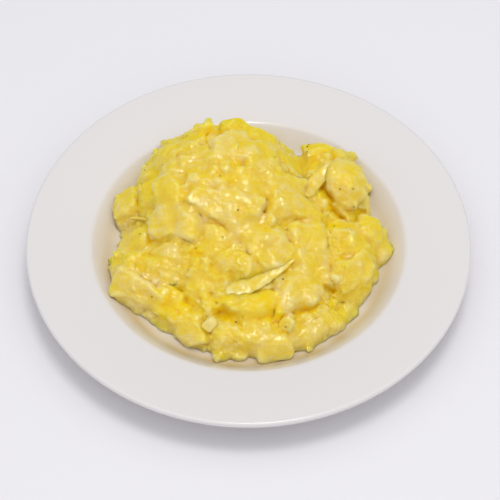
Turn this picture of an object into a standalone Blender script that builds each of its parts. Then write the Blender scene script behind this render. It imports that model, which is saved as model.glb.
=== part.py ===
"""Potato salad heaped in a wide-rimmed porcelain plate, at its real size.

Metres, +Z up. The origin is on the table, under the middle of the plate.
The viewer stands on the -Y side.
"""

import math
import random

import bmesh
import bpy
from mathutils import Matrix, Vector

MM = 0.001

# the plate, a wide flat rim round a shallow well
PLATE_RADIUS = 120 * MM
PLATE_HEIGHT = 25 * MM
LIP_THICKNESS = 3.6 * MM
SHOULDER_RADIUS = 85.4 * MM
SHOULDER_HEIGHT = 19.5 * MM
SHOULDER_ROUND = 5 * MM
WELL_RADIUS = 74 * MM
WELL_HEIGHT = 8 * MM
WELL_ROUND = 14 * MM
WALL_THICKNESS = 4.4 * MM
FOOT_OUTER_RADIUS = 63 * MM
FOOT_INNER_RADIUS = 58 * MM
FOOT_ROUND = 1.2 * MM
UNDERSIDE_HEIGHT = 3 * MM
UNDERSIDE_TURN_RADIUS = 71 * MM
UNDERSIDE_TURN_HEIGHT = 3.6 * MM
UNDERSIDE_RISE_RADIUS = 86.4 * MM
LIP_ROUND = 1.5 * MM
PLATE_STEPS = 60
CORNER_STEPS = 2

# the salad rests this far clear of the glaze
GAP = 0.4 * MM
CUTTER_MARGIN = 60 * MM

# the mound's outer face, as squashed domes in millimetres:
# middle x, middle y, half width, half depth, height, turn in degrees
DOMES = (
    (-15, 27, 49, 50, 53, 0),
    (-8, 2, 60, 52, 39, 0),
    (-12, 46, 46, 36, 32, 0),
    (-46, -14, 29, 33, 26, -25),
    (2, -37, 54, 35, 24, 0),
    (-62, 24, 13, 18, 20, 0),
    (43, 33, 25, 30, 35, 0),
    (46, -8, 26, 33, 27, 0),
    (66, 4, 13, 15, 20, 0),
)
DOME_MIDDLE_HEIGHT = 1.8 * MM
DOME_BLEND = 3 * MM
DOME_SIDES = 24
DOME_RINGS = 12

# the core, and the middles of the pieces on it, lie this far under the outer face
CORE_INSET = 3 * MM
PIECE_DEPTH = 3 * MM

# the pieces of potato and onion that the viewer sees, in millimetres and degrees:
# kind, x, y, length, width, thickness, turn, lean towards the viewer, rise out of the mound
SEEN_PIECES = (
    # the crest
    ("wedge", -22, 52, 15, 9, 9, 90, 0, 6),
    ("lump", -8, 52, 18, 13, 12, 10, 0, 4),
    ("block", -31, 44, 19, 16, 12, 15, 0, -1),
    ("lump", -44, 40, 18, 20, 13, -20, 0, 0),
    ("block", 5, 49, 16, 14, 12, -10, 0, 2),
    ("lump", 15, 45, 14, 14, 12, 30, 0, 1),
    ("lump", 24, 49, 12, 14, 12, 10, 0, 2),
    ("block", -9, 36, 21, 19, 13, 3, -6, 1),
    ("slice", -24, 27, 28, 14, 8, -6, -14, 0),
    ("block", 6, 31, 17, 24, 12, 8, 0, 0),
    ("block", 23, 36, 14, 15, 11, -20, 0, 1),
    # the upper slope
    ("lump", -43, 25, 15, 15, 11, 10, 0, 0),
    ("lump", -56, 21, 16, 19, 12, 0, 0, 0),
    ("block", -43, 12, 16, 20, 12, 5, 0, 0),
    ("block", -68, 25, 16, 20, 14, 10, 0, -1),
    ("lump", -26, 14, 17, 14, 10, -20, 0, -1),
    ("lump", -10, 18, 17, 12, 10, 15, 0, -1),
    ("block", 3, 14, 20, 14, 11, 4, 0, -1),
    ("lump", 11, 24, 14, 10, 9, 60, 0, -1),
    # the middle
    ("block", -40, -3, 31, 18, 12, -4, 8, 2),
    ("wedge", -13, 0, 36, 23, 13, 158, 4, 1),
    ("block", 19, 11, 24, 23, 15, 12, 6, 2),
    ("block", 33, 9, 10, 21, 14, 14, 0, -1),
    ("lump", 22, -4, 17, 9, 9, -10, 0, -3),
    ("lump", -18, -14, 18, 12, 10, -25, 0, 0),
    ("lump", -33, -16, 19, 10, 9, -10, 0, -2),
    ("slice", 12, -20, 28, 23, 11, -12, 4, 1),
    ("block", 32, -12, 19, 23, 13, 12, 0, 1),
    ("block", -42, -18, 11, 9, 9, 0, 0, 0),
    ("lump", -43, -27, 23, 15, 10, -15, 0, -1),
    ("lump", -9, -26, 17, 15, 11, 20, 0, 0),
    ("lump", -16, -33, 14, 12, 9, 0, 0, -1),
    ("block", -28, -30, 16, 10, 9, -8, 0, -3),
    ("lump", 3, -33, 18, 14, 10, -28, 0, -1),
    # the left side
    ("lump", -60, -2, 14, 17, 11, 10, 0, 0),
    ("lump", -69, -10, 14, 17, 12, 0, 0, 0),
    ("lump", -68, -22, 16, 15, 12, 15, 0, 0),
    ("wedge", -58, -35, 32, 17, 13, -24, 4, 1),
    ("block", -40, -43, 20, 16, 13, -30, 6, 1),
    ("lump", -26, -38, 16, 11, 10, -8, 0, 1),
    ("lump", -47, -49, 18, 11, 11, -28, 0, -1),
    # the front
    ("half", 1, -48, 34, 17, 11, -4, 14, 2),
    ("lump", -12, -43, 10, 18, 11, 25, 0, 0),
    ("block", 27, -36, 27, 25, 13, 30, -4, 2),
    ("lump", 37, -29, 16, 16, 11, 20, 0, 2),
    ("block", 20, -45, 14, 14, 11, 10, -6, 1),
    ("lump", 36, -45, 20, 14, 10, 28, 0, -2),
    ("lump", 22, -55, 17, 10, 9, 8, 0, -2),
    ("lump", 46, -50, 14, 12, 12, 20, 0, 0),
    ("block", -31, -57, 15, 18, 15, 8, 0, -1),
    ("onion", -19, -56, 12, 9, 5, -35, 30, 4),
    ("lump", -12, -64, 17, 15, 13, -10, 0, 0),
    ("lump", 0, -64, 16, 16, 13, 20, 0, 0),
    ("lump", 8, -55, 17, 10, 9, 5, 0, -1),
    ("block", 13, -67, 18, 15, 14, 5, 0, 0),
    ("lump", 27, -61, 15, 12, 12, 12, 0, -1),
    ("lump", 37, -57, 15, 12, 12, 25, 0, -1),
    # the right side
    ("block", 56, -25, 24, 15, 12, 38, 4, 0),
    ("lump", 59, -33, 17, 14, 12, 40, 0, -1),
    ("lump", 53, -43, 15, 13, 12, 45, 0, 0),
    ("lump", 47, -5, 17, 18, 11, 0, 0, -1),
    ("lump", 43, -18, 14, 14, 11, 0, 0, 0),
    ("lump", 58, -6, 12, 18, 11, 10, 0, -1),
    ("lump", 68, 3, 17, 20, 15, 0, 0, 0),
    ("lump", 63, -14, 15, 14, 12, 20, 0, -1),
    # the lobe at the right
    ("lump", 53, 27, 25, 27, 18, 20, 0, 2),
    ("block", 40, 15, 14, 14, 10, 10, 0, -2),
    ("lump", 53, 12, 15, 11, 10, 0, 0, -1),
    ("block", 39, 48, 14, 14, 13, 12, 0, 3),
    ("lump", 52, 47, 14, 12, 12, -20, 0, 2),
    ("lump", 29, 46, 12, 14, 12, 0, 0, 1),
    ("block", 35, 36, 12, 12, 9, 0, 0, -1),
    ("onion", 40, 33, 30, 10, 3, 47, 0, 10),
    # slivers of onion that lie on top
    ("onion", 9, -31, 34, 6, 3, 30, -20, 5),
    ("onion", -60, 13, 11, 3, 3, 2, 0, 4),
)

# how far the corners of each kind of piece wander, and how deep its edges are worn,
# against its size
BLOCK_WANDER, BLOCK_WEAR = 0.07, 0.17
WEDGE_WANDER, WEDGE_WEAR = 0.05, 0.13
SLICE_WANDER, SLICE_WEAR = 0.03, 0.12
LUMP_WANDER, LUMP_WEAR = 0.04, 0.29
CRUMB_WANDER = 0.05
ONION_WANDER = 0.02

# a wedge's thin end, and an onion strip's taper, bow and arch, against their size
WEDGE_END_WIDTH, WEDGE_END_THICKNESS = 0.35, 0.6
ONION_TAPER, ONION_BOW, ONION_ARCH = 0.6, 0.5, 0.4
SLICE_SIDES = 10

# bare stretches, mostly behind the crest, get pieces by rule, in rounds of
# the least distance to the next piece, and the size against the ranges below
FILL_ROUNDS = ((16 * MM, 1.0), (12.5 * MM, 0.65))
FILL_LENGTHS = (17 * MM, 25 * MM)
FILL_WIDTHS = (13 * MM, 18 * MM)
FILL_THICKNESSES = (10 * MM, 13 * MM)
FILL_KINDS = ("block", "lump", "slice", "block", "lump", "wedge")
FILL_LEAN = math.radians(14)
FILL_LOWEST = WELL_HEIGHT + 2 * MM
FILL_TRIES = 260
FULL_TURN = 2 * math.pi
GOLDEN_TURN = math.pi * (3 - math.sqrt(5))
SEED = 41

PORCELAIN = ((0.78, 0.76, 0.75), 0.15)
POTATO = ((0.80, 0.56, 0.10), 0.4)


def new_collection(name, shown=True):
    """A collection linked to the scene."""
    collection = bpy.data.collections.new(name)
    bpy.context.scene.collection.children.link(collection)
    collection.hide_render = not shown
    return collection


def new_object(name, shape, collection):
    """An object made from a finished bmesh."""
    mesh = bpy.data.meshes.new(name)
    shape.to_mesh(mesh)
    shape.free()
    thing = bpy.data.objects.new(name, mesh)
    collection.objects.link(thing)
    return thing


def new_material(name, finish):
    """A Principled material of one colour."""
    colour, roughness = finish
    material = bpy.data.materials.new(name)
    material.use_nodes = True
    shader = material.node_tree.nodes["Principled BSDF"]
    shader.inputs["Base Color"].default_value = (*colour, 1)
    shader.inputs["Roughness"].default_value = roughness
    shader.inputs["Metallic"].default_value = 0
    return material


def rounded_corner(before, corner, after, radius, steps):
    """Points along the arc that rounds a corner of an outline."""
    corner = Vector(corner)
    back = (Vector(before) - corner).normalized()
    ahead = (Vector(after) - corner).normalized()
    half_angle = back.angle(ahead) / 2
    reach = radius / math.tan(half_angle)
    middle = corner + (back + ahead).normalized() * radius / math.sin(half_angle)
    first = (corner + back * reach - middle).normalized()
    last = (corner + ahead * reach - middle).normalized()
    return [middle + first.slerp(last, i / steps) * radius for i in range(steps + 1)]


def outline(corners):
    """Points of an outline whose corners are given as radius, height and rounding."""
    points = []
    for i, (radius, height, rounding) in enumerate(corners):
        here = (radius, 0, height)
        if not rounding:
            points.append(Vector(here))
            continue
        before = (corners[i - 1][0], 0, corners[i - 1][1])
        after = (corners[i + 1][0], 0, corners[i + 1][1])
        points += rounded_corner(before, here, after, rounding, CORNER_STEPS)
    return points


def upper_corners(lift):
    """Corners of the plate's upper face out to the lip, raised by a small lift."""
    return [
        (0, WELL_HEIGHT + lift, 0),
        (WELL_RADIUS, WELL_HEIGHT + lift, WELL_ROUND),
        (SHOULDER_RADIUS, SHOULDER_HEIGHT + lift, SHOULDER_ROUND),
    ]


def plate_corners():
    """Corners of the plate's whole section, over the lip and back to the middle."""
    return [
        *upper_corners(0),
        (PLATE_RADIUS, PLATE_HEIGHT, LIP_ROUND),
        (PLATE_RADIUS, PLATE_HEIGHT - LIP_THICKNESS, LIP_ROUND),
        (UNDERSIDE_RISE_RADIUS, SHOULDER_HEIGHT - WALL_THICKNESS, SHOULDER_ROUND),
        (UNDERSIDE_TURN_RADIUS, UNDERSIDE_TURN_HEIGHT, SHOULDER_ROUND),
        (FOOT_OUTER_RADIUS, UNDERSIDE_HEIGHT, 0),
        (FOOT_OUTER_RADIUS, 0, FOOT_ROUND),
        (FOOT_INNER_RADIUS, 0, FOOT_ROUND),
        (FOOT_INNER_RADIUS, UNDERSIDE_HEIGHT, 0),
        (0, UNDERSIDE_HEIGHT, 0),
    ]


def turned(name, corners, collection):
    """A closed shape turned about the Z axis from the corners of its section."""
    shape = bmesh.new()
    points = [shape.verts.new(point) for point in outline(corners)]
    for first, second in zip(points, points[1:]):
        shape.edges.new((first, second))
    thing = new_object(name, shape, collection)
    screw = thing.modifiers.new("turn", "SCREW")
    screw.angle = FULL_TURN
    screw.steps = PLATE_STEPS
    screw.render_steps = PLATE_STEPS
    screw.use_merge_vertices = True
    screw.merge_threshold = 0.00001
    return thing


def make_plate(collection):
    """The white plate."""
    plate = turned("plate", plate_corners(), collection)
    plate.data.materials.append(new_material("porcelain", PORCELAIN))
    return plate


def make_plate_cutter(collection):
    """What the salad can't reach: the plate and all that is below and outside its upper face."""
    outside = PLATE_RADIUS + CUTTER_MARGIN
    corners = [
        *upper_corners(GAP),
        (PLATE_RADIUS, PLATE_HEIGHT + GAP, 0),
        (outside, PLATE_HEIGHT + GAP, 0),
        (outside, -CUTTER_MARGIN, 0),
        (0, -CUTTER_MARGIN, 0),
    ]
    cutter = turned("plate_cutter", corners, collection)
    cutter.hide_render = True
    cutter.display_type = "WIRE"
    return cutter


def mound_height(x, y):
    """Height of the mound's face over the table."""
    total = 0
    for middle_x, middle_y, half_width, half_depth, height, turn in DOMES:
        angle = math.radians(turn)
        across = x - middle_x * MM
        along = y - middle_y * MM
        u = (across * math.cos(angle) + along * math.sin(angle)) / (half_width * MM)
        v = (along * math.cos(angle) - across * math.sin(angle)) / (half_depth * MM)
        inside = max(1 - u * u - v * v, 0)
        total += math.exp(height * MM * math.sqrt(inside) / DOME_BLEND)
    return DOME_MIDDLE_HEIGHT + DOME_BLEND * math.log(total)


def mound_facing(x, y):
    """The direction in which the mound's face looks."""
    step = 3 * MM
    slope_x = (mound_height(x + step, y) - mound_height(x - step, y)) / (2 * step)
    slope_y = (mound_height(x, y + step) - mound_height(x, y - step)) / (2 * step)
    return Vector((-slope_x, -slope_y, 1)).normalized()


def dome_place(dome, inset):
    """The matrix that makes a unit ball one of the mound's domes."""
    middle_x, middle_y, half_width, half_depth, height, turn = dome
    sizes = Vector((half_width, half_depth, height)) * MM - Vector.Fill(3, inset)
    return (
        Matrix.Translation((middle_x * MM, middle_y * MM, DOME_MIDDLE_HEIGHT))
        @ Matrix.Rotation(math.radians(turn), 4, "Z")
        @ Matrix.Diagonal((*sizes, 1))
    )


def make_dome(name, dome, collection):
    """One squashed ball of the mound's core."""
    shape = bmesh.new()
    bmesh.ops.create_uvsphere(shape, u_segments=DOME_SIDES, v_segments=DOME_RINGS, radius=1)
    bmesh.ops.transform(shape, matrix=dome_place(dome, CORE_INSET), verts=shape.verts)
    return new_object(name, shape, collection)


def jitter(shape, amount, draw):
    """Moves each corner of a piece of unit size a little, so that no two are alike."""
    for vert in shape.verts:
        vert.co += Vector((draw.uniform(-1, 1), draw.uniform(-1, 1), draw.uniform(-1, 1))) * amount


def wear(shape, amount):
    """Rounds every edge of a piece by one facet."""
    bmesh.ops.bevel(
        shape, geom=shape.edges[:], offset=amount, offset_type="OFFSET", affect="EDGES", segments=1,
        profile=0.5, material=-1, clamp_overlap=True,
    )


def block_shape(draw):
    """A boiled block of potato with worn edges, one unit each way."""
    shape = bmesh.new()
    bmesh.ops.create_cube(shape, size=1)
    jitter(shape, BLOCK_WANDER, draw)
    wear(shape, BLOCK_WEAR)
    return shape


def wedge_shape(draw):
    """A block that thins to one end."""
    shape = bmesh.new()
    bmesh.ops.create_cube(shape, size=1)
    for vert in shape.verts:
        if vert.co.x > 0:
            vert.co.y *= WEDGE_END_WIDTH
            vert.co.z *= WEDGE_END_THICKNESS
    jitter(shape, WEDGE_WANDER, draw)
    wear(shape, WEDGE_WEAR)
    return shape


def slice_shape(draw):
    """A round slice with a worn rim."""
    shape = bmesh.new()
    bmesh.ops.create_cone(shape, cap_ends=True, segments=SLICE_SIDES, radius1=0.5, radius2=0.5, depth=1)
    jitter(shape, SLICE_WANDER, draw)
    wear(shape, SLICE_WEAR)
    return shape


def half_shape(draw):
    """Half a round slice, its straight edge at the back."""
    shape = slice_shape(draw)
    everything = shape.verts[:] + shape.edges[:] + shape.faces[:]
    cut = bmesh.ops.bisect_plane(
        shape, geom=everything, plane_co=(0, 0, 0), plane_no=(0, 1, 0), clear_outer=True
    )
    edges = [item for item in cut["geom_cut"] if isinstance(item, bmesh.types.BMEdge)]
    bmesh.ops.contextual_create(shape, geom=edges)
    bmesh.ops.transform(shape, matrix=Matrix.Diagonal((1, 2, 1, 1)), verts=shape.verts)
    bmesh.ops.translate(shape, vec=(0, 0.5, 0), verts=shape.verts)
    return shape


def lump_shape(draw):
    """A crumbled lump of potato."""
    shape = bmesh.new()
    bmesh.ops.create_cube(shape, size=1.04)
    wear(shape, LUMP_WEAR)
    jitter(shape, LUMP_WANDER, draw)
    return shape


def crumb_shape(draw):
    """A small crumb, rougher and plainer than a lump."""
    shape = bmesh.new()
    bmesh.ops.create_icosphere(shape, subdivisions=1, radius=0.58)
    jitter(shape, CRUMB_WANDER, draw)
    return shape


def onion_shape(draw):
    """A strip of onion, bowed along its length and thin at both ends."""
    shape = bmesh.new()
    bmesh.ops.create_cube(shape, size=1)
    long_edges = [edge for edge in shape.edges if abs(edge.verts[0].co.x - edge.verts[1].co.x) > 0.5]
    bmesh.ops.subdivide_edges(shape, edges=long_edges, cuts=4, use_grid_fill=True)
    for vert in shape.verts:
        along = vert.co.x * 2
        vert.co.y *= 1 - ONION_TAPER * along * along
        vert.co.y -= ONION_BOW * along * along
        vert.co.z += ONION_ARCH * (1 - along * along)
    jitter(shape, ONION_WANDER, draw)
    return shape


SHAPES = {
    "block": block_shape,
    "wedge": wedge_shape,
    "slice": slice_shape,
    "half": half_shape,
    "lump": lump_shape,
    "crumb": crumb_shape,
    "onion": onion_shape,
}


def facing(middle, out, turn, lean):
    """The matrix of a piece whose flat side looks along the direction out."""
    along = (Vector((1, 0, 0)) - out * out.x).normalized()
    across = out.cross(along)
    axes = Matrix((along, across, out)).transposed().to_4x4()
    spin = Matrix.Rotation(turn, 4, "Z") @ Matrix.Rotation(-lean, 4, "X")
    return Matrix.Translation(middle) @ axes @ spin


def make_piece(name, kind, place, sizes, draw, collection):
    """One piece of the salad, scaled from unit size and set in its place."""
    shape = SHAPES[kind](draw)
    bmesh.ops.triangulate(shape, faces=shape.faces[:])
    bmesh.ops.transform(shape, matrix=place @ Matrix.Diagonal((*sizes, 1)), verts=shape.verts)
    bmesh.ops.recalc_face_normals(shape, faces=shape.faces[:])
    return new_object(name, shape, collection)


def add_seen_pieces(collection):
    """The pieces that the viewer sees. Returns their middles."""
    middles = []
    for number, row in enumerate(SEEN_PIECES):
        kind, x, y, length, width, thickness, turn, lean, rise = row
        draw = random.Random(SEED + number)
        out = mound_facing(x * MM, y * MM)
        surface = Vector((x * MM, y * MM, mound_height(x * MM, y * MM)))
        middle = surface + out * (rise * MM - PIECE_DEPTH)
        place = facing(middle, out, math.radians(turn), math.radians(lean))
        make_piece(f"seen_{number}", kind, place, Vector((length, width, thickness)) * MM, draw, collection)
        middles.append(middle)
    return middles


def spots_on_dome(dome):
    """Points spread evenly over a dome where it shows, each with the way that it faces."""
    place = dome_place(dome, 0)
    normals = place.to_3x3().inverted().transposed()
    others = [dome_place(other, 0).inverted() for other in DOMES if other is not dome]
    for number in range(FILL_TRIES):
        height = (number + 0.5) / FILL_TRIES
        reach = math.sqrt(1 - height * height)
        angle = number * GOLDEN_TURN
        unit = Vector((reach * math.cos(angle), reach * math.sin(angle), height))
        spot = place @ unit
        buried = any((inverse @ spot).length < 1 for inverse in others)
        if spot.z > FILL_LOWEST and not buried:
            yield spot, (normals @ unit).normalized()


def add_filling_pieces(collection, middles):
    """Pieces spread by rule wherever the mound is still bare."""
    draw = random.Random(SEED)
    number = 0
    for step, size in FILL_ROUNDS:
        for dome in DOMES:
            for spot, out in spots_on_dome(dome):
                if min((spot - other).length for other in middles) < step:
                    continue
                middle = spot - out * PIECE_DEPTH
                place = facing(middle, out, draw.uniform(0, FULL_TURN), draw.uniform(-FILL_LEAN, FILL_LEAN))
                ranges = (FILL_LENGTHS, FILL_WIDTHS, FILL_THICKNESSES)
                sizes = [draw.uniform(*limits) * size for limits in ranges]
                kind = FILL_KINDS[number % len(FILL_KINDS)] if size == 1 else "crumb"
                make_piece(f"fill_{number}", kind, place, sizes, draw, collection)
                middles.append(middle)
                number += 1


def apply_boolean(thing, operation, operand):
    """Joins or cuts an object with another object or a whole collection, and keeps the result."""
    boolean = thing.modifiers.new(operation, "BOOLEAN")
    boolean.operation = operation
    boolean.solver = "EXACT"
    if isinstance(operand, bpy.types.Collection):
        boolean.operand_type = "COLLECTION"
        boolean.collection = operand
    else:
        boolean.object = operand
    graph = bpy.context.evaluated_depsgraph_get()
    result = bpy.data.meshes.new_from_object(thing.evaluated_get(graph))
    thing.modifiers.clear()
    thing.data = result


def shell_volume(faces):
    """Signed volume inside a closed set of triangles."""
    corners = [[vert.co for vert in face.verts] for face in faces]
    return sum(a.dot(b.cross(c)) for a, b, c in corners) / 6


def keep_largest_shell(thing):
    """Drops loose scraps and fills sealed hollows, so that one closed body is left."""
    shape = bmesh.new()
    shape.from_mesh(thing.data)
    bmesh.ops.triangulate(shape, faces=shape.faces[:])
    left = set(shape.faces)
    shells = []
    while left:
        shell = {left.pop()}
        edge_of_shell = list(shell)
        while edge_of_shell:
            face = edge_of_shell.pop()
            for edge in face.edges:
                for other in edge.link_faces:
                    if other in left:
                        left.remove(other)
                        shell.add(other)
                        edge_of_shell.append(other)
        shells.append(shell)
    largest = max(shells, key=shell_volume)
    dropped = [face for shell in shells if shell is not largest for face in shell]
    bmesh.ops.delete(shape, geom=dropped, context="FACES")
    shape.to_mesh(thing.data)
    shape.free()


def make_salad(collection, cutters):
    """The whole heap: domes and pieces joined, then cut clear of the plate."""
    pieces = new_collection("salad_pieces")
    salad = make_dome("potato_salad", DOMES[0], collection)
    for number, dome in enumerate(DOMES[1:]):
        make_dome(f"dome_{number}", dome, pieces)
    middles = add_seen_pieces(pieces)
    add_filling_pieces(pieces, middles)
    apply_boolean(salad, "UNION", pieces)
    for piece in list(pieces.objects):
        bpy.data.objects.remove(piece)
    bpy.data.collections.remove(pieces)
    keep_largest_shell(salad)
    apply_boolean(salad, "DIFFERENCE", make_plate_cutter(cutters))
    keep_largest_shell(salad)
    salad.data.materials.clear()
    salad.data.materials.append(new_material("dressed_potato", POTATO))
    return salad


def main():
    for thing in list(bpy.data.objects):
        bpy.data.objects.remove(thing)
    collection = new_collection("potato_salad_plate")
    cutters = new_collection("cutters", shown=False)
    make_plate(collection)
    make_salad(collection, cutters)


main()
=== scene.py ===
"""The looks of a potato salad heaped in a wide-rimmed porcelain plate.

Metres, +Z up. The origin is on the table, under the middle of the plate. The viewer stands on the -Y side.
The mound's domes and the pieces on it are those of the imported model, made finer.
"""

import math
import random
from itertools import product

import bmesh
import bpy
import numpy
from mathutils import Matrix, Quaternion, Vector
from mathutils.bvhtree import BVHTree


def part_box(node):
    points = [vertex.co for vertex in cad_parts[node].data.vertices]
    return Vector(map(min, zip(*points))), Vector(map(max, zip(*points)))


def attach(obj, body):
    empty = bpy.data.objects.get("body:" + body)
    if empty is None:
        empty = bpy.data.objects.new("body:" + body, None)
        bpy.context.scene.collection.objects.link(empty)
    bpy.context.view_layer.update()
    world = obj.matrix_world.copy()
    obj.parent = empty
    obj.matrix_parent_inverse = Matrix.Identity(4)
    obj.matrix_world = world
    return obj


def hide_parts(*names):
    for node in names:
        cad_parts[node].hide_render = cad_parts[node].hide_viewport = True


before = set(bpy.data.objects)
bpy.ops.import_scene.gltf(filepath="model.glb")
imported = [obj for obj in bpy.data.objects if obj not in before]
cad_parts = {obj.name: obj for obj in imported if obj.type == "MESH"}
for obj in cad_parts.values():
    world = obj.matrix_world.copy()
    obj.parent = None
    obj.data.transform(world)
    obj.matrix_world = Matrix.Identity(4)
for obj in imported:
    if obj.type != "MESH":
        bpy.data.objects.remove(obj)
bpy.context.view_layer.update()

MM = 0.001
FULL_TURN = 2 * math.pi
GOLDEN_TURN = math.pi * (3 - math.sqrt(5))

# the camera stands where the photographer stood: what it looks at, its distance and elevation,
# and the way back from there to the camera
PHOTO_SIZE = 500
AIM = Vector((0.8, -12.25, 25)) * MM
CAMERA_DISTANCE = 750 * MM
CAMERA_ELEVATION = math.radians(52.5)
BACK = Vector((0, -math.cos(CAMERA_ELEVATION), math.sin(CAMERA_ELEVATION)))
SENSOR_WIDTH = 36
LENS = 100.9

# the studio: its lamps as name, place, side length in metres and power in watts, all aimed at the origin,
# the brightness of the room at the horizon and overhead, and what it loses beyond the plate
LAMPS = (("soft_box", (0.05, -0.08, 1.2), 1.5, 3.4), ("lamp_head", (0.07, -0.1, 1.15), 0.3, 3.2))
ROOM_LOW, ROOM_HIGH, ROOM_LOSS = 0.44, 0.68, 0.2
FLOOR_REACH = 3

# the plate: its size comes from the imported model, its section is the same with rounder corners
PLATE_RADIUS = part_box("plate")[1].x
PLATE_HEIGHT = 25 * MM
LIP_THICKNESS = 3.6 * MM
LIP_ROUND = 1.5 * MM
SHOULDER_RADIUS = 85.4 * MM
SHOULDER_HEIGHT = 19.5 * MM
SHOULDER_ROUND = 5 * MM
WELL_RADIUS = 74 * MM
WELL_HEIGHT = 8 * MM
WELL_ROUND = 14 * MM
WALL_THICKNESS = 4.4 * MM
FOOT_OUTER_RADIUS = 63 * MM
FOOT_INNER_RADIUS = 58 * MM
FOOT_ROUND = 1.2 * MM
UNDERSIDE_HEIGHT = 3 * MM
UNDERSIDE_TURN_RADIUS = 71 * MM
UNDERSIDE_TURN_HEIGHT = 3.6 * MM
UNDERSIDE_RISE_RADIUS = 86.4 * MM
PLATE_STEPS = 192
CORNER_STEPS = 8
CUTTER_STEPS = 96
# rings across the flat of the well, which carry the tan of dressing, painted shadow and painted reflection
WELL_RINGS = [radius * MM for radius in range(24, 66, 3)]
# the dressing round the salad, with painted shadow at its foot: how far it reaches and how strong it is
FILM_AND_SHADOW_REACH, FILM_AND_SHADOW_STRENGTH = 4 * MM, 0.4
# the painted reflection and shade of the salad where the well turns up into the wall: its radius and half
# width, its strength at the back and at the front, and the length of its patches and how much they differ
PAINTED_BAND_RADIUS, PAINTED_BAND_HALF_WIDTH = 76 * MM, 8 * MM
PAINTED_BAND_BACK, PAINTED_BAND_FRONT = 0.1, 0.95
PATCH_LENGTH, PATCH_CONTRAST = 9 * MM, 0.4
CUTTER_MARGIN = 60 * MM
# the salad rests this far clear of the glaze
GAP = 0.15 * MM

# the mound's outer face, as squashed domes in millimetres:
# middle x, middle y, half width, half depth, height, turn in degrees
DOMES = (
    (-15, 27, 49, 50, 53, 0),
    (-8, 2, 60, 52, 39, 0),
    (-12, 46, 46, 36, 32, 0),
    (-46, -14, 29, 33, 26, -25),
    (2, -37, 54, 35, 24, 0),
    (-62, 24, 13, 18, 20, 0),
    (43, 33, 25, 30, 35, 0),
    (46, -8, 26, 33, 27, 0),
    (66, 4, 13, 15, 20, 0),
)
DOME_MIDDLE_HEIGHT = 1.8 * MM
DOME_BLEND = 3 * MM
DOME_SIDES = 64
DOME_RINGS = 32
PIECE_DEPTH = 3 * MM
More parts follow.
